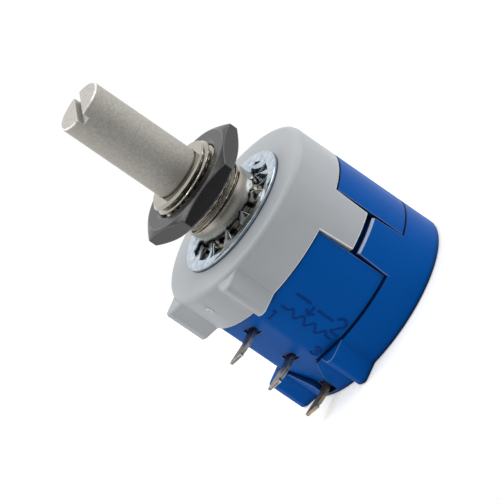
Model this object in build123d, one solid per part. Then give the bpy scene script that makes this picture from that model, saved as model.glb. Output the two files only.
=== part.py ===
from build123d import *
import os
from math import cos, pi, radians, sin, sqrt, tan

# A ten-turn wirewound panel potentiometer, 22 mm in diameter. Lengths are in millimetres.
# The origin is on the shaft's axis, in the face that seats on the panel. +Z runs out along the
# shaft, and the three terminals point to -Y. Angles about the axis are counted from the
# terminals, positive towards +X.

# Clearances
running_clearance = 0.04     # radial, a journal in its bore
seat_gap = 0.02              # between pieces that are pressed, moulded or laid together
guide_clearance = 0.05       # each side of a sliding guide
seam_gap = 0.06              # the line that shows between two mouldings

# Margins of the construction
overshoot = 1.0              # how far a cutting body runs past what it cuts
far = 40.0                   # reach of a cutting body past the whole part
fan_step = 40.0              # widest step, in degrees, of the fan that cuts a sector
root_overlap = 0.5           # how far an added piece reaches into the piece that carries it
trim_margin = 0.05           # how far a trimming body stands outside what it leaves alone
tolerance = 0.001

# Case, along the axis
case_radius = 11.1
case_length = 19.05
lid_skirt_depth = 5.43       # back edge of the grey lid's skirt
cover_skirt_length = 4.67    # from the front edge of the rear cover's skirt to the rear face
skirt_wall = 1.0
lid_front_wall = 2.0
cover_end_wall = 1.0
lid_edge_rounding = 0.8
cover_edge_rounding = 0.4
skirt_edge_chamfer = 0.1

# Tabs that reach from both skirts over the middle of the housing
tab_angle = 95.3
lid_tab_z = -9.7
cover_tab_z = -10.4
tab_root_half_width = 2.63
tab_tip_half_width = 2.39
tab_side_gap = 0.06
tab_tip_bevel = 0.25

# Lugs beside the terminals, the same on the lid and on the rear cover
lug_outer_x = 6.8
lug_inner_x = 5.6
lug_root_x = 3.8
lug_rise = 0.2               # past the case, towards the terminals
lug_root_inset = 0.7         # inside the case, where the lug's inner slope starts
lug_outer_rounding = 0.6
lug_inner_rounding = 0.35
lug_end_rounding = 0.35
lug_front_setback = 0.45
lug_inset = 3.0              # the outline runs this far back, to be cut to the skirt's bore

# Housing
barrel_setback = 0.25        # the low stretch of the barrel beside the terminals
barrel_wall = 1.45
spigot_length = 2.1          # how far the housing reaches into the rear cover
facet_cut = 0.5              # flat that the terminals stand on
tongue_root_half_width = 2.9
tongue_tip_half_width = 1.3
tongue_taper_length = 2.4
tongue_length = 4.05
terminal_well_depth = 0.2
terminal_well_margin = 0.35
gate_mark_radius = 0.4
gate_mark_height = 0.1
gate_mark_z = -2.3

# Bushing with its M9 x 0.75 thread
thread_radius = 4.5
thread_pitch = 0.75
thread_depth_ratio = 0.6134
thread_crest_ratio = 0.13
thread_root_overlap = 0.1    # how far the helical ridge dips into the core
bushing_reach = 7.5
thread_start_z = 2.6
relief_step = 0.05           # radial, from the thread down to the plain relief behind it
undercut_step = 0.35
undercut_length = 0.65
bushing_shank_radius = 5.2
flange_width = 1.4
flange_thickness = 1.0
bushing_chamfer = 0.6

# Shaft
shaft_radius = 3.0
shaft_reach = 20.6
shaft_tip_chamfer = 0.15
journal_step = 0.2           # radial, from the shaft's free end down to its journal in the bushing
journal_step_gap = 0.1       # from the bushing's front end to that step, which takes a push on the shaft
driver_slot_width = 0.85
driver_slot_depth = 0.8
driver_slot_angle = -44.0
rotor_flat_half_width = 2.6
seal_groove_depth = 0.6
seal_groove_width = 0.8
seal_groove_z = 3.6
seal_squeeze_gap = 0.01
ring_groove_depth = 0.6
pivot_radius = 1.5
pivot_length = 1.9
pivot_boss_wall = 1.2
end_play = 0.1

# Thrust washer and retaining ring behind the bushing
thrust_washer_radius = 5.2
thrust_washer_thickness = 0.4
retaining_ring_width = 2.1
retaining_ring_thickness = 0.5
retaining_ring_opening = 50.0

# Panel nut and lock washer
nut_across_flats = 13.0
nut_thickness = 2.1
nut_back_z = 4.35
nut_face_setback = 0.2       # the round faces are this much smaller than the flats
nut_chamfer_angle = 25.0
nut_bore_chamfer = 0.35
nut_turn = 2.0
washer_rim_width = 1.35
washer_tooth_length = 1.4
washer_tooth_gap = 0.25      # between the teeth and the thread
washer_thickness = 0.4
washer_tooth_count = 12
washer_tooth_width = 1.5
washer_tooth_twist = 25.0
washer_tooth_phase = 33.0
washer_tooth_root = 0.15     # how far each tooth reaches into the rim

# Resistance element: a wound rod, wound again into a helix inside the housing
turns = 10                   # turns of the shaft from one stop to the other
element_turn_gap = 0.19      # between one turn of the wound rod and the next
element_spare_turns = 1      # half a turn past the wiper's travel at each end

# Rotor, and the carriage that it carries round
rotor_hub_radius = 4.9
rotor_front_gap = 0.15
rotor_rail_wall = 1.2
rotor_stop_clearance = 0.2   # inside the end stops
rotor_disc_thickness = 0.6
rotor_brush_room = 1.55      # from the rotor's disc to the inside of the rear cover
carriage_rear_gap = 0.35     # from the carriage at the end of its travel to the rotor's disc
carriage_front_gap = 0.85    # from the carriage at the end of its travel to the bushing's flange
carriage_half_width = 1.5
carriage_half_length = 1.1
carriage_top_gap = 0.3
follower_reach = 0.18        # how far the follower teeth dip between two turns
follower_tip_half_width = 0.075
follower_base_half_width = 0.3
follower_half_length = 1.2   # along the turn
strip_thickness = 0.23       # contact rail and foot of the wiper
contact_rail_half_width = 0.6
wiper_half_width = 0.4
wiper_half_thickness = 0.1
wiper_foot_half_length = 0.5
wiper_foot_thickness = 0.16

# Collector
collector_stop_gap = 0.6     # inside the end stops
collector_width = 2.0
collector_thickness = 0.4
brush_boss_gap = 0.7         # round the boss of the rear bearing
brush_sheet = 0.15
brush_arm_margin = 0.1       # from the collector's inner edge
brush_arm_width = 0.8
brush_plate_margin = 0.7     # how far the plate reaches past the rotor's hub
brush_arm_half_length = 1.25
brush_ear_length = 0.5

# End stops for the carriage
stop_bite = 0.45             # how far the stop overlaps the carriage at the end of travel
stop_thickness = 0.5
stop_half_angle = 4.0
stop_angle_gap = 0.5

# Terminals and the leads inside
terminal_count = 3
terminal_pitch = 5.08
terminal_rear_inset = 1.27   # from the rear face to the last terminal
terminal_half_width = 0.75
terminal_thickness = 0.4
terminal_length = 4.25       # this and the next three are counted from the flat
terminal_bend_start = 1.55
terminal_notch_start = 3.0
terminal_shoulder_start = 3.4
terminal_bend_angle = 8.0
terminal_notch_size = 0.22
terminal_tip_half_width = 0.2
lead_half_width = 0.5
lead_thickness = 0.22
lead_groove_depth = 0.28
lead_side_gap = 0.06
lead_back_gap = 0.03         # behind a lead in its groove
collector_lead_angle = 12.0
collector_foot_overlap = 0.5
contact_block_length = 0.8
contact_block_end_gap = 0.16
contact_block_setback = 0.04  # the block is this much lower than the wound rod, above and below
contact_block_inset = 0.23   # keeps the block clear of the follower teeth

# Places worked out from the sizes above
cover_front_z = cover_skirt_length - case_length
rear_z = -case_length
cover_inside_z = rear_z + cover_end_wall
lid_skirt_z = -lid_skirt_depth
skirt_bore = case_radius - skirt_wall
barrel_radius = case_radius - barrel_setback
housing_bore = barrel_radius - barrel_wall
facet_depth = barrel_radius - facet_cut
lug_depth = case_radius + lug_rise
lug_root_depth = case_radius - lug_root_inset
relief_radius = thread_radius - relief_step
undercut_radius = thread_radius - undercut_step
flange_radius = bushing_shank_radius + flange_width
nut_face_radius = nut_across_flats / 2 - nut_face_setback
washer_tooth_radius = thread_radius + washer_tooth_gap
washer_rim_radius = washer_tooth_radius + washer_tooth_length
washer_radius = washer_rim_radius + washer_rim_width
journal_radius = shaft_radius - journal_step
bushing_bore = journal_radius + running_clearance
flange_rear_z = -lid_front_wall - flange_thickness
thrust_front_z = flange_rear_z - seat_gap
thrust_rear_z = thrust_front_z - thrust_washer_thickness
ring_front_z = thrust_rear_z - seat_gap
ring_rear_z = ring_front_z - retaining_ring_thickness
ring_groove_radius = journal_radius - ring_groove_depth
rotor_front_z = ring_rear_z - rotor_front_gap
disc_rear_z = cover_inside_z + rotor_brush_room
disc_front_z = disc_rear_z + rotor_disc_thickness
boss_front_z = disc_rear_z - end_play
carriage_rear_limit = disc_front_z + carriage_rear_gap
carriage_front_limit = flange_rear_z - carriage_front_gap
half_travel = (carriage_front_limit - carriage_rear_limit) / 2 - carriage_half_length
element_lead = 2 * half_travel / turns
element_middle_z = (carriage_front_limit + carriage_rear_limit) / 2
element_radius = (element_lead - element_turn_gap) / 2
element_centre_radius = housing_bore - element_radius - seat_gap
element_inner_radius = element_centre_radius - element_radius
carriage_top = element_inner_radius - carriage_top_gap
stop_outer_radius = carriage_top - seat_gap
stop_inner_radius = stop_outer_radius - stop_thickness
rotor_rail_radius = stop_inner_radius - rotor_stop_clearance
rail_bottom = rotor_hub_radius + seat_gap
rail_top = rail_bottom + strip_thickness
collector_outer_radius = stop_inner_radius - collector_stop_gap
collector_inner_radius = collector_outer_radius - collector_width
collector_front_z = cover_inside_z + seat_gap + collector_thickness
brush_arm_inner = collector_inner_radius + brush_arm_margin
brush_arm_outer = brush_arm_inner + brush_arm_width
brush_plate_inner = pivot_radius + pivot_boss_wall + brush_boss_gap
brush_plate_outer = rotor_hub_radius + brush_plate_margin
brush_front_z = disc_rear_z - seat_gap
lead_back_radius = housing_bore + lead_groove_depth - lead_back_gap
lead_face_radius = lead_back_radius - lead_thickness
last_terminal_z = rear_z + terminal_rear_inset
terminal_places = [last_terminal_z + terminal_pitch * number for number in range(terminal_count)][::-1]


def disc(radius, low, high):
    return Pos(0, 0, (low + high) / 2) * Cylinder(radius, high - low)


def ring(outer, inner, low, high):
    return disc(outer, low, high) - disc(inner, low - overshoot, high + overshoot)


def bar(x_low, x_high, y_low, y_high, z_low, z_high):
    middle = Pos((x_low + x_high) / 2, (y_low + y_high) / 2, (z_low + z_high) / 2)
    return middle * Box(x_high - x_low, y_high - y_low, z_high - z_low)


def flat_outline(points):
    return make_face(Polyline(*points, close=True))


def spot(radius, angle):
    """Point at an angle from the terminals, which lie along -Y."""
    return (radius * sin(radians(angle)), -radius * cos(radians(angle)))


def sector(inner, outer, angle_low, angle_high, low, high):
    """Piece of a ring between two angles, counted from the terminals."""
    steps = 1 + int((angle_high - angle_low) / fan_step)
    fan = [(0, 0)]
    for step in range(steps + 1):
        fan.append(spot(far, angle_low + (angle_high - angle_low) * step / steps))
    wedge = Pos(0, 0, low) * extrude(flat_outline(fan), high - low)
    return ring(outer, inner, low, high) & wedge


def side_prism(points, depth_low, depth_high):
    """Outline in X and Z, drawn as seen from the terminals and pushed through in -Y."""
    sheet = Plane.XZ * flat_outline(points)
    return Pos(0, -depth_low, 0) * extrude(sheet, depth_high - depth_low)


def solid_of(shape):
    """The one solid of a finished piece."""
    solids = shape.solids()
    if len(solids) != 1:
        raise ValueError(f"a piece came out as {len(solids)} solids")
    return solids[0]


def edges_at(shape, z):
    return shape.edges().filter_by_position(Axis.Z, z - tolerance, z + tolerance)


def lug(side, low, high, rounded_end):
    """Foot beside the terminals: square outside, sloping back to the case inside."""
    back = -lug_root_depth + lug_inset
    points = [(lug_outer_x, back), (lug_outer_x, -lug_depth), (lug_inner_x, -lug_depth)]
    points += [(lug_root_x, -lug_root_depth), (lug_root_x, back)]
    outline = flat_outline(points)
    outer = outline.vertices().sort_by(Axis.Y)[:2].sort_by(Axis.X)
    outline = fillet(outer[1], lug_outer_rounding)
    inner = outline.vertices().filter_by_position(Axis.X, lug_inner_x - tolerance, lug_inner_x + tolerance)
    outline = fillet(inner, lug_inner_rounding)
    body = Pos(0, 0, low) * extrude(outline, high - low)
    end_edges = edges_at(body, rounded_end)
    end_edges = end_edges.filter_by(lambda edge: edge.center().Y < back - tolerance)
    body = fillet(end_edges, lug_end_rounding)
    body -= disc(skirt_bore, low - overshoot, high + overshoot)
    return body if side > 0 else mirror(body, Plane.YZ)


def tab(side, root_z, tip_z, bevel):
    """Tongue of a skirt, a little narrower at its tip, on the line tab_angle from the terminals."""
    points = [(-tab_root_half_width, root_z), (tab_root_half_width, root_z)]
    points += [(tab_tip_half_width, tip_z), (-tab_tip_half_width, tip_z)]
    low, high = sorted((root_z, tip_z))
    body = side_prism(points, skirt_bore - overshoot, case_radius + overshoot)
    body &= ring(case_radius, skirt_bore, low, high)
    if bevel > 0:
        rim = edges_at(body, tip_z).sort_by(Axis.Y)[0]
        body = chamfer(rim, bevel)
    return Rot(0, 0, side * tab_angle) * body


def tongue_outline(grow, top_z):
    root = tongue_root_half_width + grow
    tip = tongue_tip_half_width + grow
    taper_z = cover_front_z - tongue_taper_length - grow
    end_z = cover_front_z - tongue_length - grow
    return [(-root, top_z), (root, top_z), (root, cover_front_z), (tip, taper_z), (tip, end_z),
            (-tip, end_z), (-tip, taper_z), (-root, cover_front_z)]


def stop(angle, low, high):
    return sector(stop_inner_radius, stop_outer_radius, angle - stop_half_angle,
                  angle + stop_half_angle, low, high)


def stop_offset():
    """Angle between the middle of the carriage and the middle of a stop that it meets."""
    return carriage_half_width / stop_inner_radius * 180 / pi + stop_angle_gap + stop_half_angle


def front_lid():
    body = disc(case_radius, lid_skirt_z, 0)
    body = fillet(edges_at(body, 0), lid_edge_rounding)
    body = chamfer(edges_at(body, lid_skirt_z), skirt_edge_chamfer)
    body -= disc(skirt_bore, lid_skirt_z - overshoot, -lid_front_wall)
    for side in (-1, 1):
        body += tab(side, lid_skirt_z + skirt_edge_chamfer, lid_tab_z, 0)
        body += lug(side, lid_skirt_z, -lug_front_setback, -lug_front_setback)
    body -= disc(bushing_shank_radius + seat_gap, -lid_front_wall - overshoot, overshoot)
    body += stop(180 + stop_offset(), carriage_front_limit - stop_bite, root_overlap - lid_front_wall)
    gate_place = Pos(0, -case_radius, gate_mark_z) * Rot(90, 0, 0)
    return body + gate_place * Cylinder(gate_mark_radius, 2 * gate_mark_height)


def housing():
    spigot_radius = skirt_bore - seam_gap
    barrel_low = cover_front_z + seam_gap
    barrel_high = lid_skirt_z - seam_gap
    body = ring(barrel_radius, housing_bore, barrel_low, barrel_high)
    body += sector(housing_bore, case_radius, tab_angle, 360 - tab_angle, barrel_low, barrel_high)
    pocket_half_width = tab_root_half_width + tab_side_gap
    for side in (-1, 1):
        pocket = bar(-pocket_half_width, pocket_half_width, -far, 0, barrel_low - overshoot,
                     barrel_high + overshoot)
        pocket -= disc(spigot_radius, rear_z, 0)
        body -= Rot(0, 0, side * tab_angle) * pocket
    body += ring(spigot_radius, housing_bore, cover_front_z - spigot_length, -lid_front_wall - seam_gap)
    tongue_top_z = barrel_low + root_overlap
    tongue = side_prism(tongue_outline(0, tongue_top_z), housing_bore - overshoot, case_radius + overshoot)
    body += tongue & ring(barrel_radius, housing_bore, rear_z, tongue_top_z)
    body -= bar(-far, far, -far, -facet_depth, rear_z - overshoot, barrel_high + overshoot)
    for place in terminal_places:
        half = terminal_thickness / 2
        slot = terminal_half_width + seat_gap
        body -= bar(-slot, slot, -far, -housing_bore + overshoot, place - half - seat_gap,
                    place + half + seat_gap)
        well = terminal_half_width + terminal_well_margin
        body -= bar(-well, well, -far, -facet_depth + terminal_well_depth,
                    place - half - terminal_well_margin, place + half + terminal_well_margin)
    return body - lead_grooves()


def lead_grooves():
    """Grooves in the bore, behind the element, that the three leads lie in."""
    back = housing_bore + lead_groove_depth
    half = lead_half_width + lead_side_gap
    turn = half / housing_bore * 180 / pi
    block_turn = (contact_block_length + contact_block_end_gap) / housing_bore * 180 / pi
    front_place, middle_place, rear_place = terminal_places
    front_z, rear_end_z = element_end(1), element_end(-1)
    under = housing_bore - root_overlap
    grooves = sector(under, back, -turn, turn, front_place - half, front_z + half)
    grooves += sector(under, back, 0, block_turn, front_z - half, front_z + half)
    grooves += sector(under, back, -turn, turn, rear_z, rear_end_z + half)
    grooves += sector(under, back, -block_turn, 0, rear_end_z - half, rear_end_z + half)
    grooves += sector(under, back, -turn, collector_lead_angle + turn, middle_place - half,
                      middle_place + half)
    grooves += sector(under, back, collector_lead_angle - turn, collector_lead_angle + turn, rear_z,
                      middle_place + half)
    return grooves


def rear_cover():
    body = disc(case_radius, rear_z, cover_front_z)
    body = fillet(edges_at(body, rear_z), cover_edge_rounding)
    body = chamfer(edges_at(body, cover_front_z), skirt_edge_chamfer)
    body -= disc(skirt_bore, cover_inside_z, cover_front_z + overshoot)
    for side in (-1, 1):
        body += tab(side, cover_front_z - skirt_edge_chamfer, cover_tab_z, tab_tip_bevel)
        body += lug(side, rear_z, cover_front_z, rear_z)
    body -= side_prism(tongue_outline(seam_gap, cover_front_z + overshoot), housing_bore - overshoot, far)
    body += disc(pivot_radius + pivot_boss_wall, cover_inside_z - root_overlap, boss_front_z)
    body -= disc(pivot_radius + running_clearance, disc_rear_z - pivot_length - seat_gap,
                 boss_front_z + overshoot)
    body += stop(180 - stop_offset(), cover_inside_z - root_overlap, carriage_rear_limit + stop_bite)
    return body


def bushing():
    """Plated brass bushing with its flange behind the lid's front wall."""
    flange_front_z = -lid_front_wall - seat_gap
    profile = [(bushing_bore, flange_rear_z), (flange_radius, flange_rear_z)]
    profile += [(flange_radius, flange_front_z), (bushing_shank_radius, flange_front_z)]
    profile += [(bushing_shank_radius, -seat_gap), (undercut_radius, -seat_gap)]
    profile += [(undercut_radius, undercut_length), (relief_radius, undercut_length)]
    profile += [(relief_radius, thread_start_z), (root_radius(), thread_start_z)]
    root_chamfer = root_radius() - (thread_radius - bushing_chamfer)
    profile += [(root_radius(), bushing_reach - root_chamfer)]
    profile += [(thread_radius - bushing_chamfer, bushing_reach), (bushing_bore, bushing_reach)]
    body = revolve(Plane.XZ * flat_outline(profile), Axis.Z)
    return body + thread_ridge()


def root_radius():
    return thread_radius - thread_depth_ratio * thread_pitch


def thread_ridge():
    """Helical ridge of the thread, cut to the chamfer at the front and to the relief behind."""
    crest = thread_pitch * thread_crest_ratio / 2
    base = thread_pitch / 2 - crest / 2
    inner = root_radius() - thread_root_overlap
    profile = [(inner, -base), (thread_radius, -crest), (thread_radius, crest), (inner, base)]
    low = thread_start_z - thread_pitch
    path = Helix(thread_pitch, bushing_reach - low + thread_pitch, inner)
    ridge = Pos(0, 0, low) * sweep(Plane.XZ * flat_outline(profile), path=path, is_frenet=True)
    outer = thread_radius + trim_margin
    limit = [(0, thread_start_z), (outer, thread_start_z)]
    limit += [(outer, bushing_reach - bushing_chamfer - trim_margin)]
    limit += [(thread_radius - bushing_chamfer, bushing_reach), (0, bushing_reach)]
    return ridge & revolve(Plane.XZ * flat_outline(limit), Axis.Z)


def shaft():
    """Slotted shaft with a seal groove, a ring groove, two flats for the rotor and a pivot."""
    step_z = bushing_reach + journal_step_gap
    body = chamfer(edges_at(disc(shaft_radius, step_z, shaft_reach), shaft_reach), shaft_tip_chamfer)
    body += disc(journal_radius, disc_rear_z, step_z)
    half = driver_slot_width / 2
    slot = bar(-far, far, -half, half, shaft_reach - driver_slot_depth, far)
    body -= Rot(0, 0, driver_slot_angle) * slot
    body -= ring(far, journal_radius - seal_groove_depth, seal_groove_z, seal_groove_z + seal_groove_width)
    body -= ring(far, ring_groove_radius, ring_rear_z - seat_gap, ring_front_z + seat_gap)
    for side in (-1, 1):
        flat = sorted((side * rotor_flat_half_width, side * far))
        body -= bar(flat[0], flat[1], -far, far, disc_rear_z - overshoot, rotor_front_z)
    return body + disc(pivot_radius, disc_rear_z - pivot_length, disc_rear_z)


def shaft_seal():
    inner = journal_radius - seal_groove_depth + seal_squeeze_gap
    outer = bushing_bore - seal_squeeze_gap
    middle_z = seal_groove_z + seal_groove_width / 2
    return Pos(0, 0, middle_z) * Torus((inner + outer) / 2, (outer - inner) / 2)


def thrust_washer():
    return ring(thrust_washer_radius, journal_radius + running_clearance, thrust_rear_z, thrust_front_z)


def retaining_ring():
    inner = ring_groove_radius + seat_gap
    outer = ring_groove_radius + retaining_ring_width
    opening = retaining_ring_opening / 2
    return sector(inner, outer, opening, 360 - opening, ring_rear_z, ring_front_z)


def panel_nut():
    high = nut_back_z + nut_thickness
    hexagon = RegularPolygon(nut_across_flats / 2, 6, major_radius=False)
    body = Pos(0, 0, nut_back_z) * extrude(Rot(0, 0, nut_turn) * hexagon, nut_thickness)
    rim = nut_across_flats / sqrt(3) + trim_margin
    drop = (rim - nut_face_radius) * tan(radians(nut_chamfer_angle))
    limit = [(0, nut_back_z), (nut_face_radius, nut_back_z), (rim, nut_back_z + drop), (rim, high - drop)]
    limit += [(nut_face_radius, high), (0, high)]
    body &= revolve(Plane.XZ * flat_outline(limit), Axis.Z)
    bore = thread_radius + guide_clearance
    hole = disc(bore, nut_back_z - overshoot, high + overshoot)
    for face, step in ((nut_back_z, 1), (high, -1)):
        cone = [(0, face), (bore + nut_bore_chamfer, face), (bore, face + step * nut_bore_chamfer)]
        cone += [(0, face + step * nut_bore_chamfer)]
        hole += revolve(Plane.XZ * flat_outline(cone), Axis.Z)
    return body - hole


def lock_washer():
    """Internal-tooth washer. Each tooth is twisted about its own radius."""
    half = washer_tooth_width / 2
    twist = radians(washer_tooth_twist)
    rise = half * sin(twist) + washer_thickness / 2 * cos(twist)
    body = ring(washer_radius, washer_rim_radius, seat_gap, seat_gap + washer_thickness)
    root = washer_rim_radius + washer_tooth_root
    for number in range(washer_tooth_count):
        tooth = Box(root - washer_tooth_radius, washer_tooth_width, washer_thickness)
        tooth = Rot(washer_tooth_twist, 0, 0) * tooth
        tooth = Pos((root + washer_tooth_radius) / 2, 0, seat_gap + rise) * tooth
        body += Rot(0, 0, washer_tooth_phase + 360 * number / washer_tooth_count) * tooth
    return body - disc(washer_tooth_radius, -far, far)


def element_end(direction):
    """Height of the element's front end (1) or rear end (-1)."""
    return element_middle_z + direction * (turns + element_spare_turns) * element_lead / 2


def resistance_element():
    length = (turns + element_spare_turns) * element_lead
    path = Helix(element_lead, length, element_centre_radius)
    section = Plane(origin=path @ 0, z_dir=path % 0) * Circle(element_radius)
    body = sweep(section, path=path, is_frenet=True)
    return Pos(0, 0, element_end(-1)) * Rot(0, 0, -90) * body


def element_lead_strip(direction, place):
    """Strip from a terminal to one end of the element, with a block against the wound rod's end."""
    end_z = element_end(direction)
    turn = lead_half_width / housing_bore * 180 / pi
    strip = sector(lead_face_radius, lead_back_radius, -turn, turn, place - terminal_thickness / 2,
                   end_z + lead_half_width)
    block_turn = contact_block_length / housing_bore * 180 / pi
    gap_turn = seat_gap / housing_bore * 180 / pi
    angles = sorted((direction * gap_turn, direction * block_turn))
    block_inner = element_inner_radius + contact_block_inset
    block_half = element_radius - contact_block_setback
    return strip + sector(block_inner, lead_back_radius, angles[0], angles[1], end_z - block_half,
                          end_z + block_half)


def collector_lead():
    """Strip from the middle terminal round behind the element and back to the collector ring."""
    place = terminal_places[1]
    turn = lead_half_width / housing_bore * 180 / pi
    foot_low = collector_front_z + seat_gap
    high = place + lead_half_width
    strip = sector(lead_face_radius, lead_back_radius, -turn, collector_lead_angle + turn,
                   place - lead_half_width, high)
    angles = (collector_lead_angle - turn, collector_lead_angle + turn)
    strip += sector(lead_face_radius, lead_back_radius, angles[0], angles[1], foot_low, high)
    foot_inner = collector_outer_radius - collector_foot_overlap
    return strip + sector(foot_inner, lead_back_radius, angles[0], angles[1], foot_low,
                          foot_low + lead_thickness)


def collector_ring():
    low = cover_inside_z + seat_gap
    return ring(collector_outer_radius, collector_inner_radius, low, collector_front_z)


def collector_brush():
    """Sprung plate behind the rotor, with two arms that run on the collector ring."""
    low = brush_front_z - brush_sheet
    body = ring(brush_plate_outer, brush_plate_inner, low, brush_front_z)
    drop_z = collector_front_z + seat_gap
    start, end = -brush_arm_half_length, brush_arm_half_length
    ear = start - brush_ear_length
    path = [(ear, brush_front_z), (start, brush_front_z), (end, drop_z + brush_sheet), (end, drop_z)]
    path += [(start, low), (ear, low)]
    sheet = Plane.YZ * flat_outline(path)
    arm = Pos(brush_arm_inner, 0, 0) * extrude(sheet, brush_arm_outer - brush_arm_inner)
    bridge = bar(brush_plate_inner, brush_arm_outer, ear, start, low, brush_front_z)
    for turned in (0, 180):
        body += Rot(0, 0, turned) * (arm + bridge)
    return body


def rotor():
    """Moulded hub with two rails that hold the carriage between them."""
    body = disc(rotor_hub_radius, disc_rear_z, rotor_front_z)
    inner = carriage_half_width + guide_clearance
    for side in (-1, 1):
        wall = sorted((side * inner, side * (inner + rotor_rail_wall)))
        rail = bar(wall[0], wall[1], 0, rotor_rail_radius, disc_rear_z, rotor_front_z)
        body += rail & disc(rotor_rail_radius, disc_rear_z, rotor_front_z)
    body += disc(rotor_rail_radius, disc_rear_z, disc_front_z)
    slot_half = contact_rail_half_width + guide_clearance
    low, high = disc_rear_z - overshoot, rotor_front_z + overshoot
    body -= bar(-slot_half, slot_half, rail_bottom - guide_clearance, rail_top + guide_clearance, low, high)
    flat = rotor_flat_half_width + seat_gap
    return body - (disc(journal_radius + seat_gap, low, high) & bar(-flat, flat, -far, far, low, high))


def contact_rail():
    return bar(-contact_rail_half_width, contact_rail_half_width, rail_bottom, rail_top,
               disc_rear_z, rotor_front_z)


def wiper_carriage():
    """Slider that the element's turns lead along the rotor."""
    middle = element_middle_z
    bottom = rail_top + seat_gap + wiper_foot_thickness + seat_gap
    body = bar(-carriage_half_width, carriage_half_width, bottom, carriage_top,
               middle - carriage_half_length, middle + carriage_half_length)
    tooth_top = element_inner_radius + follower_reach
    for side in (-1, 1):
        place = middle + side * element_lead / 2
        front, rear = place + follower_base_half_width, place - follower_base_half_width
        tip_front, tip_rear = place + follower_tip_half_width, place - follower_tip_half_width
        outline = [(carriage_top - root_overlap, rear), (carriage_top, rear)]
        outline += [(element_inner_radius - guide_clearance, tip_rear), (tooth_top + overshoot, tip_rear)]
        outline += [(tooth_top + overshoot, tip_front), (element_inner_radius - guide_clearance, tip_front)]
        outline += [(carriage_top, front), (carriage_top - root_overlap, front)]
        tooth = extrude(Plane.YZ * flat_outline(outline), follower_half_length, both=True)
        body += tooth & disc(tooth_top, -far, far)
    half = wiper_half_width + guide_clearance
    thick = wiper_half_thickness + guide_clearance
    return body - bar(-half, half, 0, far, middle - thick, middle + thick)


def wiper_contact():
    """Strip through the carriage, from the contact rail to the inside of the element."""
    middle = element_middle_z
    foot_low = rail_top + seat_gap
    foot = bar(-wiper_half_width, wiper_half_width, foot_low, foot_low + wiper_foot_thickness,
               middle - wiper_foot_half_length, middle + wiper_foot_half_length)
    stem = bar(-wiper_half_width, wiper_half_width, foot_low, element_inner_radius,
               middle - wiper_half_thickness, middle + wiper_half_thickness)
    return foot + (stem & disc(element_inner_radius - seat_gap, -far, far))


def terminal(place):
    """Flat strip across the axis, bent a little towards the shaft, with a notched pointed end."""
    half, thick = terminal_half_width, terminal_thickness / 2
    inner = lead_back_radius + seat_gap
    reach = facet_depth + terminal_length
    bend = facet_depth + terminal_bend_start
    notch = facet_depth + terminal_notch_start
    outline = [(-half, -inner), (half, -inner), (half, -notch + terminal_notch_size)]
    outline += [(half - terminal_notch_size, -notch), (half, -notch - terminal_notch_size)]
    outline += [(half, -facet_depth - terminal_shoulder_start)]
    outline += [(-half + terminal_tip_half_width, -reach), (-half, -reach)]
    blade = Pos(0, 0, -far) * extrude(flat_outline(outline), 2 * far)
    end = reach + overshoot
    end_z = place + (end - bend) * tan(radians(terminal_bend_angle))
    path = [(-inner, place - thick), (-bend, place - thick), (-end, end_z - thick)]
    path += [(-end, end_z + thick), (-bend, place + thick), (-inner, place + thick)]
    sheet = extrude(Plane.YZ * flat_outline(path), half + overshoot, both=True)
    return blade & sheet


def make_parts():
    parts = {
        "front_lid": front_lid(),
        "housing": housing(),
        "rear_cover": rear_cover(),
        "bushing": bushing(),
        "shaft": shaft(),
        "shaft_seal": shaft_seal(),
        "thrust_washer": thrust_washer(),
        "retaining_ring": retaining_ring(),
        "panel_nut": panel_nut(),
        "lock_washer": lock_washer(),
        "resistance_element": resistance_element(),
        "element_lead_front": element_lead_strip(1, terminal_places[0]),
        "element_lead_rear": element_lead_strip(-1, terminal_places[2]),
        "collector_lead": collector_lead(),
        "collector_ring": collector_ring(),
        "collector_brush": collector_brush(),
        "rotor": rotor(),
        "contact_rail": contact_rail(),
        "wiper_carriage": wiper_carriage(),
        "wiper_contact": wiper_contact(),
    }
    for number, place in enumerate(terminal_places, start=1):
        parts[f"terminal_{number}"] = terminal(place)
    return parts


os.makedirs("parts", exist_ok=True)
for name, shape in make_parts().items():
    export_step(solid_of(shape), f"parts/{name}.step")
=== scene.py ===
"""A ten-turn panel potentiometer, 22 mm in diameter: its finishes and its detailed pieces."""
from math import cos, pi, radians, sin

import bmesh
import bpy
from bpy.props import FloatProperty, FloatVectorProperty, IntProperty, PointerProperty
from mathutils import Matrix, Vector


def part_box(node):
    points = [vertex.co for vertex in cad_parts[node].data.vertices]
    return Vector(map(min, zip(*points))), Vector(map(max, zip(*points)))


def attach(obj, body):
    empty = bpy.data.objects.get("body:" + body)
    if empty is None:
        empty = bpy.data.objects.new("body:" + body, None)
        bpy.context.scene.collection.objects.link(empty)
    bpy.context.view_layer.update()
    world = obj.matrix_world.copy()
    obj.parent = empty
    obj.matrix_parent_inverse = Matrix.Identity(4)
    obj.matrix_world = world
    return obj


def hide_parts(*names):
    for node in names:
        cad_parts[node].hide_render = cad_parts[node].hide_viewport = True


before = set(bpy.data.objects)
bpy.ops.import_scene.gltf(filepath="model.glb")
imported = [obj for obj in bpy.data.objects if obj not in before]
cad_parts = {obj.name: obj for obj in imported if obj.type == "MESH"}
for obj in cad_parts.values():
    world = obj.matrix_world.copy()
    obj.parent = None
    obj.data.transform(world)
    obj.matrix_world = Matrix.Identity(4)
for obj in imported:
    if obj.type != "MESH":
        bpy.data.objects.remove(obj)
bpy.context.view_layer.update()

bl_info = {
    "name": "Ten-turn potentiometer",
    "version": (1, 0, 0),
    "blender": (4, 5, 0),
    "location": "View3D > Sidebar > Potentiometer",
    "description": "Finishes and detailed pieces of a ten-turn panel potentiometer",
    "category": "Object",
}

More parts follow.
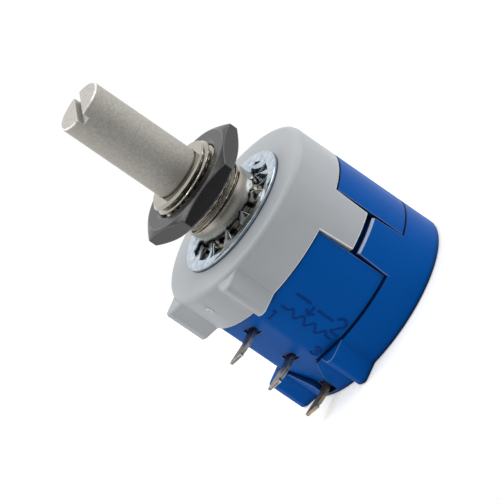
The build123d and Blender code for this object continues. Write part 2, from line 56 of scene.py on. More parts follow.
MM = 0.001
SEGMENTS = 128  # round a lathed piece and the floor
MERGE = 0.001 * MM  # points nearer than this are one
FLAT = radians(0.5)  # faces that turn by less than this are joined
SHARP = radians(50)  # edges that turn by more than this are rounded
WHITE = (1, 1, 1, 1)

# Facets of a chamfer round the axis, which get a painted highlight
CHAMFER_ANGLE = (radians(38), radians(52))  # how far an edge beside one turns
CHAMFER_LEAN = (0.6, 0.8)  # the part of its normal that is along the axis
CHAMFER_AREA = 1.2 * MM ** 2  # the most that one facet has
CHAMFER_HIGHLIGHT, ROUNDING_HIGHLIGHT = 1.0, 0.3  # how much of a material's painted highlight each gets

# Seams where the barrel meets the lid and the cover, which get painted shade
SEAMED_NODES = ("housing", "rear_cover")
SEAM_HEIGHTS = (-5.43 * MM, -14.38 * MM)
SEAM_REACH = 0.25 * MM
SEAM_SHADE_LEVEL = 0.1  # painted shade: what is left of the colour in a seam

# Shaders
NOISE_LOW, NOISE_HIGH = 0.3, 0.7  # nearly all of a noise lies between these
GAP_OCCLUSION = 0.45  # ambient occlusion where the painted shade in a gap is darkest
RING_DRIFT = 0.15  # how fast turned rings change across the axis, per mm
ELEMENT_RADIUS_MM = 9.0  # of the middle of the resistance element's turns
WINDING_MM = 0.08  # from one winding of its wire to the next
PAPER_LIFT = 0.45  # what the paper adds to its own light for the camera

# Places taken from the frame
CASE_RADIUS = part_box("front_lid")[1].x
BUSHING_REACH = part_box("bushing")[1].z
FLANGE_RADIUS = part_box("bushing")[1].x
FLANGE_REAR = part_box("bushing")[0].z
WASHER_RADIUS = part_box("lock_washer")[1].x
WASHER_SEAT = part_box("lock_washer")[0].z
WASHER_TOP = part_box("lock_washer")[1].z
REAR_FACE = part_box("rear_cover")[0].z
FLOOR_GAP = 0.02 * MM  # keeps the floor clear of the cover's rear face
BARREL_SETBACK = 0.25 * MM
BARREL_RADIUS = CASE_RADIUS - BARREL_SETBACK

# The camera stands at the photograph's viewing angle
CAMERA_AIM = Vector((-1.05, -2.03, -3.88)) * MM
CAMERA_DISTANCE = 631 * MM
CAMERA_AZIMUTH = radians(62.7)
CAMERA_ELEVATION = radians(18.38)
CAMERA_ROLL = radians(55.62)
CAMERA_LENS = 431.15
CAMERA_CLIP = (0.05, 20)

# The studio is dimmer round one direction, and the lamps stand this far off
DIM_ELEVATION = radians(-8)
DIM_FROM, DIM_TO = 0.3, 0.92  # cosines of the angles between which it dims
LAMP_DISTANCE = 0.5


def direction(azimuth, elevation):
    """Unit vector at an azimuth from -Y towards +X, and at an elevation."""
    level = cos(elevation)
    return Vector((sin(azimuth) * level, -cos(azimuth) * level, sin(elevation)))


CAMERA_BACK = direction(CAMERA_AZIMUTH, CAMERA_ELEVATION)
DIM_SIDE = direction(CAMERA_AZIMUTH, DIM_ELEVATION)


def linear(hex_colour):
    """Linear red, green and blue of an sRGB hex colour."""
    channels = [int(hex_colour[place:place + 2], 16) / 255 for place in (1, 3, 5)]
    return [c / 12.92 if c <= 0.04045 else ((c + 0.055) / 1.055) ** 2.4 for c in channels]


def add(tree, kind, inputs=None, **settings):
    """Adds a node. An input gets a value, or links to an output or to a node's first output."""
    node = tree.nodes.new(kind)
    for name, value in settings.items():
        setattr(node, name, value)
    for key, value in (inputs or {}).items():
        if isinstance(value, bpy.types.Node):
            value = value.outputs[0]
        if isinstance(value, bpy.types.NodeSocket):
            tree.links.new(value, node.inputs[key])
        else:
            node.inputs[key].default_value = value
    return node


def length(name, description, value):
    """A length's property, with its default in millimetres."""
    return FloatProperty(name=name, description=description, default=value * MM, min=0.0,
                         unit="LENGTH", precision=5)


def colour(name, description, value):
    """A colour's property, with its default as an sRGB hex colour."""
    return FloatVectorProperty(name=name, description=description, default=linear(value), size=3,
                               subtype="COLOR", min=0.0, max=1.0)


def share(name, description, value):
    """The property of a share between 0 and 1."""
    return FloatProperty(name=name, description=description, default=value, min=0.0, max=1.0,
                         subtype="FACTOR")


def power(name, description, value):
    """The property of a lamp's power in watts."""
    return FloatProperty(name=name, description=description, default=value, min=0.0, unit="POWER")


class PlasticSettings(bpy.types.PropertyGroup):
    """The moulded case."""
    lid_colour: colour("Lid", "Colour of the grey front lid", "#b0b5b9")
    case_colour: colour("Case", "Colour of the blue housing and cover", "#0054a8")
    # Painted shade: the markings are the case's blue, drawn darker
    marking_colour_with_painted_shade: colour("Markings", "Colour of the moulded markings, a darker blue", "#003a86")
    lid_softness: length("Lid edges", "Rounding of the lid's edges", 0.1)
    case_softness: length("Case edges", "Rounding of the blue edges", 0.08)
    # A spark-eroded tool leaves a grain of about 0.03 mm. It is too fine to show, so it is drawn
    # about one pixel coarse.
    grain: length("Grain", "Size of the moulded texture's grain", 0.12)
    marking_width: length("Marking width", "Width of a moulded stroke", 0.34)
    marking_height: length("Marking height", "Height of a moulded stroke over the barrel", 0.05)


class MetalSettings(bpy.types.PropertyGroup):
    """The shaft, the bushing, the nut, the washer and the terminals."""
    shaft_colour: colour("Shaft", "Colour of the ground shaft", "#b9b6b0")
    nickel_colour: colour("Nickel", "Colour of the plated bushing", "#aba69c")
    nut_colour: colour("Nut", "Colour of the black finish", "#151619")
    zinc_colour: colour("Zinc", "Colour of the washer's plating", "#b6c3cf")
    tin_colour: colour("Tin", "Colour of the terminals' plating", "#7f7c76")
    brass_colour: colour("Brass", "Colour where brass shows through", "#b39763")
    thread_pitch: length("Thread pitch", "Distance from crest to crest", 0.75)
    thread_radius: length("Thread radius", "Outer radius of the thread", 4.5)
    thread_start: length("Thread start", "Height where the thread begins", 2.6)
    shaft_softness: length("Shaft edges", "Rounding of the shaft's edges", 0.06)
    nut_softness: length("Nut edges", "Rounding of the nut's edges", 0.08)
    blade_softness: length("Terminal edges", "Rounding of the terminals' edges", 0.05)
    washer_teeth: IntProperty(name="Washer teeth", description="Teeth of the lock washer",
                              default=12, min=3)
    tooth_width: length("Tooth width", "Width of a tooth of the washer", 1.5)
    tooth_twist: FloatProperty(name="Tooth twist", description="How far a tooth's tip is twisted",
                               default=radians(27), subtype="ANGLE")


class StageSettings(bpy.types.PropertyGroup):
    """The floor, the light and the camera."""
    floor_colour: colour("Floor", "Colour of the paper that the part stands on", "#f4f4f4")
    floor_radius: length("Floor radius", "Radius of the sheet of paper", 60)
    studio_level: share("Studio", "Level of the light from all around", 0.8)
    camera_side_level: share("Camera side", "Level of the studio behind the camera", 0.28)
    mirrored_side_level: share("Mirrored side", "Level of that side in bright metal", 0.2)
    key_power: power("Key light", "Power of the key light", 0.65)
    top_power: power("Top light", "Power of the light over the shaft", 0.8)


class PotentiometerSettings(bpy.types.PropertyGroup):
    """All settings."""
    plastic: PointerProperty(type=PlasticSettings)
    metal: PointerProperty(type=MetalSettings)
    stage: PointerProperty(type=StageSettings)


def new_material(name, base, roughness, metallic=0.0, ior=None):
    """A material with its tree, its shader and its object coordinates in millimetres."""
    material = bpy.data.materials.new(name)
    material.use_nodes = True
    tree = material.node_tree
    shader = tree.nodes["Principled BSDF"]
    shader.inputs["Base Color"].default_value = (*base, 1)
    shader.inputs["Roughness"].default_value = roughness
    shader.inputs["Metallic"].default_value = metallic
    if ior:
        shader.inputs["IOR"].default_value = ior
    place = add(tree, "ShaderNodeTexCoord").outputs["Object"]
    scaled = add(tree, "ShaderNodeVectorMath", {0: place, "Scale": 1 / MM}, operation="SCALE")
    return material, tree, shader, scaled.outputs["Vector"]


# edge is the share of painted highlight on marked faces; the gap argument sets how dark the painted
# shade in gaps gets, within gap_mm
def shade(tree, shader, place, base, patch_mm, amount, edge=0.0, gap=0.6, gap_mm=0.35):
    """Varies the base colour in patches, adds a painted highlight on marked edges, and paints shade
    into gaps and seams.
    """
    noise = add(tree, "ShaderNodeTexNoise",
                {"Vector": place, "Scale": 1 / patch_mm, "Detail": 2.0})
    patches = add(tree, "ShaderNodeMapRange",
                  {"Value": noise, "From Min": NOISE_LOW, "From Max": NOISE_HIGH,
                   "To Min": 1 - amount, "To Max": 1 + amount})
    # Painted shade: the colour is darker where ambient occlusion finds a gap near by
    near = add(tree, "ShaderNodeAmbientOcclusion", {"Distance": gap_mm * MM}, samples=8)
    painted_gap_shade = add(tree, "ShaderNodeMapRange",
                   {"Value": near.outputs["AO"], "From Min": GAP_OCCLUSION, "From Max": 1.0,
                    "To Min": 1 - gap, "To Max": 1.0})
    patches_and_gap_shade = add(tree, "ShaderNodeMath", {0: patches, 1: painted_gap_shade}, operation="MULTIPLY")
    # Painted shade on faces marked as lying in a seam
    seam_shade = add(tree, "ShaderNodeAttribute", attribute_name="seam")
    clear = add(tree, "ShaderNodeMapRange",
                {"Value": seam_shade.outputs["Fac"], "To Min": 1.0, "To Max": SEAM_SHADE_LEVEL})
    level = add(tree, "ShaderNodeMath", {0: patches_and_gap_shade, 1: clear}, operation="MULTIPLY")
    # Painted highlight: faces marked by the edge attribute are mixed towards white, by edge
    highlight_mark = add(tree, "ShaderNodeAttribute", attribute_name="edge")
    painted_highlight = add(tree, "ShaderNodeMath", {0: highlight_mark.outputs["Fac"], 1: edge},
                  operation="MULTIPLY")
    mixed = add(tree, "ShaderNodeMix", {"Factor": painted_highlight, 6: (*base, 1), 7: WHITE},
                data_type="RGBA")
    tint = add(tree, "ShaderNodeVectorMath", {0: mixed.outputs[2], "Scale": level},
               operation="SCALE")
    tree.links.new(tint.outputs["Vector"], shader.inputs["Base Color"])


def uneven(tree, shader, value, low, high):
    """Varies the roughness between two levels with a pattern."""
    level = add(tree, "ShaderNodeMapRange",
                {"Value": value, "From Min": NOISE_LOW, "From Max": NOISE_HIGH,
                 "To Min": low, "To Max": high})
    tree.links.new(level.outputs["Result"], shader.inputs["Roughness"])


def emboss(tree, shader, height, distance):
    """Bump whose height is a pattern times a real depth in metres."""
    bump = add(tree, "ShaderNodeBump", {"Height": height, "Distance": distance})
    tree.links.new(bump.outputs["Normal"], shader.inputs["Normal"])


def moulded_plastic(name, base, roughness, grain_mm, grain_depth_mm, specular=0.5, **shading):
    """Moulded resin: an even satin surface with the fine grain of its tool."""
    material, tree, shader, place = new_material(name, base, roughness, ior=1.5)
    shader.inputs["Specular IOR Level"].default_value = specular
    # Painted highlight on marked edges and painted shade in gaps and seams, as shade() sets them
    # from the shading settings
    shade(tree, shader, place, base, patch_mm=4.0, amount=0.03, **shading)
    grain = add(tree, "ShaderNodeTexNoise",
                {"Vector": place, "Scale": 1 / grain_mm, "Detail": 3.0})
    uneven(tree, shader, grain, low=roughness - 0.05, high=roughness + 0.06)
    emboss(tree, shader, grain, grain_depth_mm * MM)
    return material


def rings_on_axis(tree, place, spacing_mm):
    """Noise that changes only along the axis and outwards from it, as a turning tool leaves it."""
    split = add(tree, "ShaderNodeSeparateXYZ", {"Vector": place}).outputs
    flat = add(tree, "ShaderNodeCombineXYZ", {0: split["X"], 1: split["Y"]})
    away = add(tree, "ShaderNodeVectorMath", {0: flat}, operation="LENGTH")
    along = add(tree, "ShaderNodeMath", {0: split["Z"], 1: away.outputs["Value"]}, operation="ADD")
    followed = add(tree, "ShaderNodeCombineXYZ", {0: split["X"], 1: split["Y"], 2: along})
    squeezed = add(tree, "ShaderNodeMapping",
                   {"Vector": followed, "Scale": (RING_DRIFT, RING_DRIFT, 1 / spacing_mm)})
    return add(tree, "ShaderNodeTexNoise", {"Vector": squeezed, "Scale": 1.0, "Detail": 3.0})


def turned_metal(name, base, roughness, spacing_mm, depth_mm, patch_mm, amount, edge=0.0, gap=0.0,
                 gap_mm=0.35, grain=0.0, thread_lines_mm=0.0):
    """Turned or ground bar: lines round the axis, a share of even grain, deeper on a thread."""
    material, tree, shader, place = new_material(name, base, roughness, metallic=1.0)
    # Painted highlight on marked edge faces and painted shade in gaps, by edge and the gap setting
    shade(tree, shader, place, base, patch_mm, amount, edge, gap, gap_mm)
    rings = rings_on_axis(tree, place, spacing_mm)
    even = add(tree, "ShaderNodeTexNoise",
               {"Vector": place, "Scale": 1 / spacing_mm, "Detail": 3.0})
    mixed = add(tree, "ShaderNodeMix", {"Factor": grain, 2: rings, 3: even})
    uneven(tree, shader, mixed, low=roughness - 0.08, high=roughness + 0.08)
    on_thread = add(tree, "ShaderNodeAttribute", attribute_name="on_thread")
    depth = add(tree, "ShaderNodeMath",
                {0: on_thread.outputs["Fac"], 1: thread_lines_mm * MM, 2: depth_mm * MM},
                operation="MULTIPLY_ADD")
    emboss(tree, shader, mixed, depth)
    return material


def plated_metal(name, base, roughness, patch_mm, ripple_mm=0.3, ripple_depth_mm=0.004,
                 amount=0.05):
    """Plating or a rolled skin over stamped metal: a little cloudy and never quite flat."""
    material, tree, shader, place = new_material(name, base, roughness, metallic=1.0)
    # Painted highlight on marked edge faces (edge=1.6) and painted shade in gaps (the default gap
    # setting)
    shade(tree, shader, place, base, patch_mm, amount, edge=1.6)
    ripple = add(tree, "ShaderNodeTexNoise",
                 {"Vector": place, "Scale": 1 / ripple_mm, "Detail": 2.0})
    uneven(tree, shader, ripple, low=roughness - 0.07, high=roughness + 0.1)
    emboss(tree, shader, ripple, ripple_depth_mm * MM)
    return material


def black_finish(name, base):
    """Black finish on steel. Its real grain, 0.02 mm, is drawn as 0.2 mm so that it shows."""
    material, tree, shader, place = new_material(name, base, 0.3, ior=1.5)
    shader.inputs["Specular IOR Level"].default_value = 0.42
    # Painted highlight on the rounded edges and painted shade in gaps
    shade(tree, shader, place, base, patch_mm=1.5, amount=0.06, edge=0.24, gap=0.5)
    grain = add(tree, "ShaderNodeTexNoise", {"Vector": place, "Scale": 1 / 0.2, "Detail": 4.0})
    uneven(tree, shader, grain, low=0.24, high=0.3)
    emboss(tree, shader, grain, 0.0003 * MM)
    return material


def worn_tin(name, tin, brass):
    """Tin plate with the stamped brass showing through in patches of about 0.8 mm."""
    material, tree, shader, place = new_material(name, tin, 0.34, metallic=1.0)
    noise = add(tree, "ShaderNodeTexNoise", {"Vector": place, "Scale": 1 / 0.8, "Detail": 4.0})
    worn = add(tree, "ShaderNodeMapRange", {"Value": noise, "From Min": 0.4, "From Max": 0.55})
    mixed = add(tree, "ShaderNodeMix", {"Factor": worn, 6: (*tin, 1), 7: (*brass, 1)},
                data_type="RGBA")
    tree.links.new(mixed.outputs[2], shader.inputs["Base Color"])
    emboss(tree, shader, noise, 0.01 * MM)
    return material


def wound_wire(name, base):
    """Resistance wire on its rod: bright ridges that follow each other round the axis."""
    material, tree, shader, place = new_material(name, base, 0.35, metallic=1.0)
    split = add(tree, "ShaderNodeSeparateXYZ", {"Vector": place}).outputs
    angle = add(tree, "ShaderNodeMath", {0: split["Y"], 1: split["X"]}, operation="ARCTAN2")
    turns = ELEMENT_RADIUS_MM / WINDING_MM * 2 * pi
    windings = add(tree, "ShaderNodeMath", {0: angle, 1: turns}, operation="MULTIPLY")
    ridge = add(tree, "ShaderNodeMath", {0: windings}, operation="SINE")
    emboss(tree, shader, ridge, 0.02 * MM)
    return material


def floor_paper(base):
    """Matt white paper: white to the camera and in reflections, with the part's shadow on it."""
    material, tree, shader, _ = new_material("white_paper", base, 0.9)
    path = add(tree, "ShaderNodeLightPath").outputs
    seen = add(tree, "ShaderNodeMath", {0: path["Is Camera Ray"], 1: path["Is Glossy Ray"]},
               operation="MAXIMUM")
    through = add(tree, "ShaderNodeMath", {0: seen, 1: path["Is Transmission Ray"]},
                  operation="MAXIMUM")
    lift = add(tree, "ShaderNodeMath", {0: through, 1: PAPER_LIFT}, operation="MULTIPLY")
    glow = add(tree, "ShaderNodeEmission", {"Color": WHITE, "Strength": lift})
    both = add(tree, "ShaderNodeAddShader", {0: shader, 1: glow})
    tree.links.new(both.outputs["Shader"], tree.nodes["Material Output"].inputs["Surface"])
    return material


def piece(name, mesh, material, body, nodes=()):
    """Puts a finished mesh in the scene, on its body and in place of the nodes it stands for."""
    mesh.name = name
    mesh.materials.clear()
    mesh.materials.append(material)
    made = bpy.data.objects.new(name, mesh)
    bpy.context.scene.collection.objects.link(made)
    even = made.modifiers.new("even_shading", "WEIGHTED_NORMAL")
    even.keep_sharp = True
    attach(made, body)
    if nodes:
        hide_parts(*nodes)
    return made


def is_chamfer(face):
    """Whether a face is one small facet of a chamfer round the axis."""
    beside = [CHAMFER_ANGLE[0] < edge.calc_face_angle_signed(0) < CHAMFER_ANGLE[1]
              for edge in face.edges]
    leaning = CHAMFER_LEAN[0] < abs(face.normal.z) < CHAMFER_LEAN[1]
    return any(beside) and leaning and face.calc_area() < CHAMFER_AREA


def is_in_seam(face):
    """Whether a face lies where the barrel meets the lid or the cover."""
    middle = face.calc_center_median()
    beside = min(abs(middle.z - height) for height in SEAM_HEIGHTS) < SEAM_REACH
    return beside and middle.xy.length < CASE_RADIUS


def softened(node, width, sharp=SHARP):
    """A node's mesh with its sharp edges rounded. Attributes mark its roundings and chamfers for a
    painted highlight, and its seams for painted shade.
    """
    source = bmesh.new()
    source.from_mesh(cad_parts[node].data)
    highlight_mark = source.faces.layers.float.new("edge")
    seam_shade = source.faces.layers.float.new("seam")
    bmesh.ops.remove_doubles(source, verts=source.verts, dist=MERGE)
    bmesh.ops.dissolve_limit(source, angle_limit=FLAT, verts=source.verts, edges=source.edges)
    # Chamfer facets get the strongest painted highlight
    for face in source.faces:
        if is_chamfer(face):
            face[highlight_mark] = CHAMFER_HIGHLIGHT
    edges = [edge for edge in source.edges
             if len(edge.link_faces) == 2 and edge.calc_face_angle_signed(0) > sharp]
    made = bmesh.ops.bevel(source, geom=edges, offset=width, offset_type="OFFSET", segments=2,
                           profile=0.5, affect="EDGES", clamp_overlap=False, loop_slide=True)
    # Rounded faces get a weaker painted highlight
    for face in made["faces"]:
        face[highlight_mark] = ROUNDING_HIGHLIGHT
    # Chamfer facets in a seam get painted shade instead of a painted highlight
    if node in SEAMED_NODES:
        for face in source.faces:
            if face[highlight_mark] and is_in_seam(face):
                face[highlight_mark], face[seam_shade] = 0.0, 1.0
    mesh = as_mesh(node, source)
    smooth(mesh, angle=radians(28))
    return mesh


def as_mesh(name, made):
    """Turns a bmesh into a mesh and frees it."""
    mesh = bpy.data.meshes.new(name)
    made.to_mesh(mesh)
    made.free()
    return mesh


def smooth(mesh, angle):
    """Shades a mesh smooth, apart from edges sharper than an angle."""
    mesh.shade_smooth()
    mesh.set_sharp_from_angle(angle=angle)


def lathe(name, profile, segments=SEGMENTS):
    """Turns a closed outline of (radius, height) points about the axis."""
    made = bmesh.new()
    columns = []
    for step in range(segments):
        angle = 2 * pi * step / segments
        columns.append([made.verts.new((r * cos(angle), r * sin(angle), z)) for r, z in profile])
    for step in range(segments):
        here, there = columns[step], columns[(step + 1) % segments]
        for row in range(len(profile)):
            after = (row + 1) % len(profile)
            made.faces.new((here[row], there[row], there[after], here[after]))
    bmesh.ops.recalc_face_normals(made, faces=made.faces)
    return as_mesh(name, made)


def arc_points(centre, radius, start, end, count=7):
    """Points of an arc, with angles in degrees."""
    angles = [radians(start + (end - start) * step / (count - 1)) for step in range(count)]
    return [(centre[0] + radius * cos(a), centre[1] + radius * sin(a)) for a in angles]


def new_tree(name, inputs):
    """A geometry node tree with named inputs, each a kind of socket."""
    tree = bpy.data.node_groups.new(name, "GeometryNodeTree")
    tree.interface.new_socket("Geometry", in_out="INPUT", socket_type="NodeSocketGeometry")
    for label, kind in inputs.items():
        tree.interface.new_socket(label, in_out="INPUT", socket_type=kind)
    tree.interface.new_socket("Geometry", in_out="OUTPUT", socket_type="NodeSocketGeometry")
    return tree, add(tree, "NodeGroupInput").outputs


def close_tree(tree, geometry, material):
    """Ends a tree in real geometry with its material."""
    real = add(tree, "GeometryNodeRealizeInstances", {0: geometry})
    painted = add(tree, "GeometryNodeSetMaterial", {"Geometry": real, "Material": material})
    add(tree, "NodeGroupOutput", {0: painted})


def grown(source, tree, values):
    """Runs a tree on a mesh and returns the plain mesh that comes out."""
    holder = bpy.data.objects.new(tree.name, source)
    bpy.context.scene.collection.objects.link(holder)
    modifier = holder.modifiers.new(tree.name, "NODES")
    modifier.node_group = tree
    for item in tree.interface.items_tree:
        if item.in_out == "INPUT" and item.name in values:
            modifier[item.identifier] = values[item.name]
    graph = bpy.context.evaluated_depsgraph_get()
    mesh = bpy.data.meshes.new_from_object(holder.evaluated_get(graph))
    bpy.data.objects.remove(holder)
    return mesh


class BuildStage(bpy.types.Operator):
    """Make the floor, the studio light and the camera"""
    bl_idname = "potentiometer.stage"
    bl_label = "Stage"

    def execute(self, context):
        settings = context.scene.potentiometer.stage
        context.scene.view_settings.view_transform = "Standard"
        self.make_camera(context.scene)
        self.make_floor(context.scene, settings)
        self.make_world(context.scene, settings)
        self.make_lamps(context.scene, settings)
        return {"FINISHED"}

    def make_camera(self, scene):
        """The camera, turned about its own line of sight as the photograph is."""
        data = bpy.data.cameras.new("camera")
        data.lens = CAMERA_LENS
        data.clip_start, data.clip_end = CAMERA_CLIP
        camera = bpy.data.objects.new("camera", data)
        camera.location = CAMERA_AIM + CAMERA_BACK * CAMERA_DISTANCE
        level = (-CAMERA_BACK).to_track_quat("-Z", "Y").to_matrix().to_4x4()
        turned = level @ Matrix.Rotation(-CAMERA_ROLL, 4, "Z")
        camera.rotation_euler = turned.to_euler()
        scene.collection.objects.link(camera)
        scene.camera = camera

    def make_floor(self, scene, settings):
        """A round sheet of paper under the rear cover."""
        mesh = bpy.data.meshes.new("floor")
        level = Vector((0, 0, REAR_FACE - FLOOR_GAP))
        rim = [direction(2 * pi * step / SEGMENTS, 0) * settings.floor_radius + level
               for step in range(SEGMENTS)]
        mesh.from_pydata(rim, [], [range(SEGMENTS)])
        mesh.materials.append(floor_paper(settings.floor_colour))
        floor = bpy.data.objects.new("floor", mesh)
        scene.collection.objects.link(floor)

    def make_world(self, scene, settings):
        """A light tent, dimmer on the camera's side, white to the camera and bright in metal."""
        world = bpy.data.worlds.new("studio")
        scene.world = world
        world.use_nodes = True
        tree = world.node_tree
        background = tree.nodes["Background"]
        background.inputs["Color"].default_value = WHITE
        ray = add(tree, "ShaderNodeTexCoord").outputs["Generated"]
        towards = add(tree, "ShaderNodeVectorMath", {0: ray, 1: DIM_SIDE},
                      operation="DOT_PRODUCT").outputs["Value"]
        lit, mirrored = (add(tree, "ShaderNodeMapRange",
                             {"Value": towards, "From Min": DIM_FROM, "From Max": DIM_TO,
                              "To Min": around, "To Max": behind},
                             interpolation_type="SMOOTHSTEP")
                         for around, behind in ((settings.studio_level, settings.camera_side_level),
                                                (1.0, settings.mirrored_side_level)))
        path = add(tree, "ShaderNodeLightPath").outputs
        either = add(tree, "ShaderNodeMix", {"Factor": path["Is Glossy Ray"], 2: lit, 3: mirrored})
        straight = add(tree, "ShaderNodeMath",
                       {0: path["Is Camera Ray"], 1: path["Is Transmission Ray"]},
                       operation="MAXIMUM")
        shown = add(tree, "ShaderNodeMix", {"Factor": straight, 2: either, 3: 1.0})
        tree.links.new(shown.outputs[0], background.inputs["Strength"])

    def make_lamps(self, scene, settings):
        """Two soft round lamps: one facing the terminals' far side and one over the shaft."""
        lamps = {
            "key_light": (Vector((0.35, 0.85, 0.42)), 0.35, settings.key_power),
            "top_light": (Vector((-0.35, 0.1, 0.93)), 0.3, settings.top_power),
        }
        for name, (towards, width, watts) in lamps.items():
            data = bpy.data.lights.new(name, "AREA")
            data.shape = "DISK"
            data.size = width
            data.energy = watts
            lamp = bpy.data.objects.new(name, data)
            lamp.location = towards.normalized() * LAMP_DISTANCE
            lamp.rotation_euler = (-towards).to_track_quat("-Z", "Y").to_euler()
            scene.collection.objects.link(lamp)


class BuildCase(bpy.types.Operator):
    """Make the grey lid, the blue housing and the blue rear cover"""
    bl_idname = "potentiometer.case"
    bl_label = "Case"

    def execute(self, context):
        settings = context.scene.potentiometer.plastic
        # Polyester moulded in a textured tool: satin light grey, with a painted highlight as a pale
        # line on each edge and painted shade close to narrow gaps
        grey = moulded_plastic("moulded_grey_polyester", settings.lid_colour, 0.46,
                               settings.grain / MM, grain_depth_mm=0.006, edge=3.0, gap=0.8,
                               gap_mm=0.12)
        # The same, coloured through: a deep even blue with hardly any gloss, with painted shade in
        # its corners and seams and a faint painted highlight on its edges
        blue = moulded_plastic("moulded_blue_polyester", settings.case_colour, 0.4,
                               settings.grain / MM, grain_depth_mm=0.004, specular=0.04,
                               edge=0.5, gap=0.85, gap_mm=0.8)
        for name, node, width, finish, slot in (
                ("lid", "front_lid", settings.lid_softness, grey, "grey_plastic"),
                ("barrel", "housing", settings.case_softness, blue, "blue_plastic"),
                ("cover", "rear_cover", settings.case_softness, blue, "blue_plastic")):
            piece(name, softened(node, width), finish, "case", [node])
        return {"FINISHED"}


def digit_strokes(number):
    """Strokes of a plain digit, one high and about half as wide, standing on zero."""
    if number == 1:
        return [[(-0.12, 0.8), (0.08, 1.0), (0.08, 0.0)]]
    if number == 2:
        return [arc_points((0, 0.72), 0.27, 170, -30) + [(-0.27, 0.0), (0.3, 0.0)]]
    return [arc_points((0, 0.74), 0.25, 160, -90) + arc_points((0, 0.26), 0.27, 90, -160)]


class BuildMarkings(bpy.types.Operator):
    """Make the strokes moulded on the barrel: a resistor's sign, its arrow and the numbers"""
    bl_idname = "potentiometer.markings"
    bl_label = "Markings"

    # Places are (degrees from the terminals, height in millimetres)
    zigzag_angle, zigzag_swing, zigzag_peaks = 33.8, 3.0, 7
    zigzag_start, zigzag_end = -7.9, -12.9
    lead_in, lead_out = 0.9, 0.7
    arrow_tip, arrow_tail, arrow_height = 38.2, 44.4, -9.85
    barb_angle, barb_height = 2.6, 0.5
    side_strokes = ([(45.0, -7.4), (45.0, -9.3)], [(43.8, -10.4), (43.8, -12.4)])
    number_places = ((25.5, -7.0, 1.5), (43.0, -13.3, 2.0), (21.5, -13.4, 1.3))  # and size
    bend_share = 0.3  # radius of a stroke's bends over its width
    section_points = 8

    def execute(self, context):
        settings = context.scene.potentiometer.plastic
        # The barrel's polyester: the strokes stand a little proud of it, and their darker colour is
        # painted shade
        painted_shade_blue = moulded_plastic("moulded_blue_polyester_painted_shade", settings.marking_colour_with_painted_shade,
                                 0.42, settings.grain / MM, grain_depth_mm=0.004, specular=0.06)
        strokes = self.resistor_sign() + self.arrow() + self.numbers()
        values = {"Radius": BARREL_RADIUS, "Width": settings.marking_width,
                  "Height": settings.marking_height}
        mesh = grown(self.stroke_lines(strokes), self.stroke_tree(painted_shade_blue), values)
        smooth(mesh, angle=radians(60))
        piece("markings", mesh, painted_shade_blue, "case")
        return {"FINISHED"}

    def resistor_sign(self):
        """A zigzag along the axis."""
        start, end, middle = self.zigzag_start, self.zigzag_end, self.zigzag_angle
        zigzag = [(middle, start + self.lead_in), (middle, start)]
        for number in range(self.zigzag_peaks):
            side = 1 if number % 2 == 0 else -1
            height = start + (end - start) * (number + 0.5) / self.zigzag_peaks
            zigzag.append((middle + side * self.zigzag_swing, height))
        return [zigzag + [(middle, end), (middle, end - self.lead_out)]]

    def arrow(self):
        """The wiper's arrow, which points at the zigzag, and the two strokes beside it."""
        tip, height, back = self.arrow_tip, self.arrow_height, self.arrow_tip + self.barb_angle
        head = [(back, height + self.barb_height), (tip, height),
                (back, height - self.barb_height)]
        return [[(self.arrow_tail, height), (tip, height)], head, *self.side_strokes]

    def numbers(self):
        """The terminals' numbers, read from the terminals' side."""
        degrees = 180 / pi * MM / BARREL_RADIUS
        made = []
        for number, (angle, height, size) in enumerate(self.number_places, start=1):
            for line in digit_strokes(number):
                made.append([(angle + (y - 0.5) * size * degrees, height - x * size)
                             for x, y in line])
        return made

    def stroke_lines(self, strokes):
        """The strokes as chains of edges, unrolled: distance round the barrel and height."""
        points, edges = [], []
        for line in strokes:
            for place, (angle, height) in enumerate(line):
                if place > 0:
                    edges.append((len(points) - 1, len(points)))
                points.append((radians(angle) * BARREL_RADIUS, height * MM, 0))
        mesh = bpy.data.meshes.new("strokes")
        mesh.from_pydata(points, edges, [])
        return mesh

    def stroke_tree(self, material):
        """Sweeps a round section along each stroke, flattens it and rolls it onto the barrel."""
        names = ("Radius", "Width", "Height")
        tree, given = new_tree("moulded_strokes", dict.fromkeys(names, "NodeSocketFloat"))
        lines = add(tree, "GeometryNodeMeshToCurve", {"Mesh": given["Geometry"]})
        half = add(tree, "ShaderNodeMath", {0: given["Width"], 1: 0.5}, operation="MULTIPLY")
        turn = add(tree, "ShaderNodeMath", {0: given["Width"], 1: self.bend_share},
                   operation="MULTIPLY")
        bent = add(tree, "GeometryNodeFilletCurve", {"Curve": lines, "Radius": turn})
        section = add(tree, "GeometryNodeCurvePrimitiveCircle",
                      {"Resolution": self.section_points, "Radius": half})
        tube = add(tree, "GeometryNodeCurveToMesh",
                   {"Curve": bent, "Profile Curve": section, "Fill Caps": True})
        place = add(tree, "GeometryNodeInputPosition")
        flat = add(tree, "ShaderNodeSeparateXYZ", {0: place}).outputs
        angle = add(tree, "ShaderNodeMath", {0: flat["X"], 1: given["Radius"]}, operation="DIVIDE")
        rise = add(tree, "ShaderNodeMath", {0: flat["Z"], 1: half}, operation="DIVIDE")
        proud = add(tree, "ShaderNodeMath", {0: rise, 1: given["Height"]}, operation="MULTIPLY")
        radius = add(tree, "ShaderNodeMath", {0: given["Radius"], 1: proud}, operation="ADD")
        across, along = (add(tree, "ShaderNodeMath", {0: angle}, operation=wave)
                         for wave in ("SINE", "COSINE"))
        x, depth = (add(tree, "ShaderNodeMath", {0: part, 1: radius}, operation="MULTIPLY")
                    for part in (across, along))
        y = add(tree, "ShaderNodeMath", {0: 0.0, 1: depth}, operation="SUBTRACT")
        rolled = add(tree, "ShaderNodeCombineXYZ", {0: x, 1: y, 2: flat["Y"]})
        moved = add(tree, "GeometryNodeSetPosition", {"Geometry": tube, "Position": rolled})
        close_tree(tree, moved, material)
        return tree


